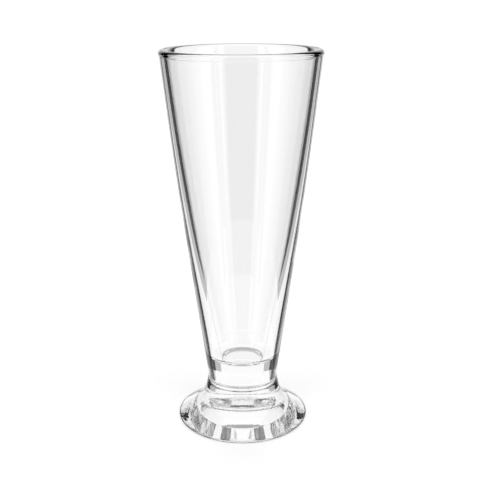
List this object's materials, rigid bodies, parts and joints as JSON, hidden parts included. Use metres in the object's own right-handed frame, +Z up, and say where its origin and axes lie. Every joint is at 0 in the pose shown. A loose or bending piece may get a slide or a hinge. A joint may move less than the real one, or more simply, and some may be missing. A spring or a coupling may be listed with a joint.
{
  "type": "iced coffee glass",
  "caption": "Tall footed iced coffee glass in clear pressed glass: conical bowl with a rounded rim, solid waist and a flared round foot.",
  "frame": {"origin": "on the glass's axis, at the surface that the foot stands on", "axes": "+Z up along the axis of revolution, from the foot to the rim"},
  "size_m": [0.0824, 0.0824, 0.2],
  "materials": {
    "bowl_glass": "fire-polished clear soda-lime glass",
    "foot_glass": "fire-polished clear soda-lime glass"
  },
  "bodies": {
    "root": {"bowl": "bowl_glass", "foot": "foot_glass"}
  },
  "joints": []
}
